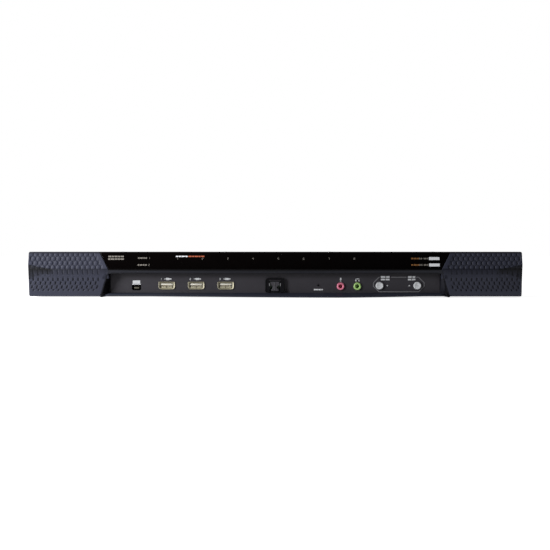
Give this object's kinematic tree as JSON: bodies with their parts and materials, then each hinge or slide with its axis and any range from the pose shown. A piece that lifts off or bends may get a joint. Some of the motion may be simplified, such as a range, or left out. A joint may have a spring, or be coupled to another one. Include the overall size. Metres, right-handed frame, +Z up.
{
  "type": "kvm switch",
  "caption": "Rack-mount KVM switch one rack unit high: winged front bezel with a dark window over a recessed port panel, steel chassis and rear connectors.",
  "frame": {"origin": "bottom centre of the whole object, on the surface it stands on", "axes": "+X to the right along the front, +Y from the front to the back, +Z up; the front faces -Y"},
  "size_m": [0.48, 0.411, 0.0444],
  "materials": {
    "slate_plastic": "fine moulded grain",
    "dark_plastic": "fine moulded grain",
    "gloss_black": "polished",
    "black_plastic": "satin",
    "connector_metal": "plated, satin",
    "tongue_plastic": "smooth",
    "pink_plastic": "smooth",
    "green_plastic": "smooth",
    "button_plastic": "satin",
    "painted_steel": "fine textured powder coat",
    "zinc_steel": "zinc plated",
    "circuit_board": "solder mask",
    "aluminium": "extruded",
    "clear_plastic": "clear, polished",
    "grey_cable": "ribbed flat cable",
    "transformer_tape": "wound tape",
    "label_white": "screen print",
    "label_orange": "screen print"
  },
  "bodies": {
    "chassis": {"bezel_wing_left": "slate_plastic", "bezel_wing_right": "slate_plastic", "bezel_center": "dark_plastic", "port_panel": "dark_plastic", "display_window": "gloss_black", "front_usb_shell_1": "connector_metal", "front_usb_shell_2": "connector_metal", "front_usb_shell_3": "connector_metal", "kvm_ports_high": "connector_metal", "kvm_ports_low": "connector_metal", "lan_port_1": "connector_metal", "lan_port_2": "connector_metal", "rear_usb_shell": "connector_metal", "monitor_port": "connector_metal", "front_usb_tongue_1": "tongue_plastic", "front_usb_tongue_2": "tongue_plastic", "front_usb_tongue_3": "tongue_plastic", "laptop_port_tongue": "tongue_plastic", "rear_usb_tongue_1": "tongue_plastic", "rear_usb_tongue_2": "tongue_plastic", "mic_jack": "pink_plastic", "rear_mic_jack": "pink_plastic", "speaker_jack": "green_plastic", "rear_speaker_jack": "green_plastic", "laptop_port_shell": "black_plastic", "latch_frame": "black_plastic", "main_chip": "black_plastic", "psu_capacitor_1": "black_plastic", "psu_capacitor_2": "black_plastic", "fan_frame_1": "black_plastic", "fan_frame_2": "black_plastic", "power_inlet_1": "black_plastic", "power_inlet_2": "black_plastic", "switch_frame_1": "black_plastic", "switch_frame_2": "black_plastic", "front_board": "circuit_board", "main_board": "circuit_board", "psu_board_1": "circuit_board", "psu_board_2": "circuit_board", "light_guide": "clear_plastic", "front_ribbon": "grey_cable", "chassis_tray": "painted_steel", "top_cover": "painted_steel", "rear_panel": "painted_steel", "power_plate": "painted_steel", "rack_ear_left": "painted_steel", "rack_ear_right": "painted_steel", "front_plate": "zinc_steel", "ground_screw": "zinc_steel", "heat_sink": "aluminium", "psu_transformer_1": "transformer_tape", "psu_transformer_2": "transformer_tape"},
    "latch": {"latch_tab": "black_plastic"},
    "port_down": {"port_down_button": "button_plastic"},
    "port_up": {"port_up_button": "button_plastic"},
    "reset": {"reset_button": "black_plastic"},
    "rocker_1": {"power_rocker_1": "black_plastic"},
    "rocker_2": {"power_rocker_2": "black_plastic"},
    "fan_1": {"fan_rotor_1": "black_plastic"},
    "fan_2": {"fan_rotor_2": "black_plastic"}
  },
  "joints": [
    {"name": "latch_press", "type": "hinge", "parent": "chassis", "child": "latch", "pos_m": [0, -0.1905, 0.0062], "axis": [-1, 0, 0], "range_deg": [0, 8], "stiffness_Nm_per_rad": 0.02, "springref_deg": -4.01},
    {"name": "port_down_press", "type": "slide", "parent": "chassis", "child": "port_down", "axis": [0, 1, 0], "range_m": [0, 0.001], "stiffness_N_per_m": 500, "springref_m": -0.001},
    {"name": "port_up_press", "type": "slide", "parent": "chassis", "child": "port_up", "axis": [0, 1, 0], "range_m": [0, 0.001], "stiffness_N_per_m": 500, "springref_m": -0.001},
    {"name": "reset_press", "type": "slide", "parent": "chassis", "child": "reset", "axis": [0, 1, 0], "range_m": [0, 0.0005], "stiffness_N_per_m": 500, "springref_m": -0.001},
    {"name": "power_rocker_1_tilt", "type": "hinge", "parent": "chassis", "child": "rocker_1", "pos_m": [-0.15, 0.1955, 0.021], "axis": [-1, 0, 0], "range_deg": [0, 16]},
    {"name": "power_rocker_2_tilt", "type": "hinge", "parent": "chassis", "child": "rocker_2", "pos_m": [-0.088, 0.1955, 0.021], "axis": [-1, 0, 0], "range_deg": [0, 16]},
    {"name": "fan_1_spin", "type": "hinge", "parent": "chassis", "child": "fan_1", "pos_m": [0.2029, -0.1155, 0.021], "axis": [1, 0, 0], "continuous": true},
    {"name": "fan_2_spin", "type": "hinge", "parent": "chassis", "child": "fan_2", "pos_m": [0.2029, -0.0555, 0.021], "axis": [1, 0, 0], "continuous": true}
  ]
}
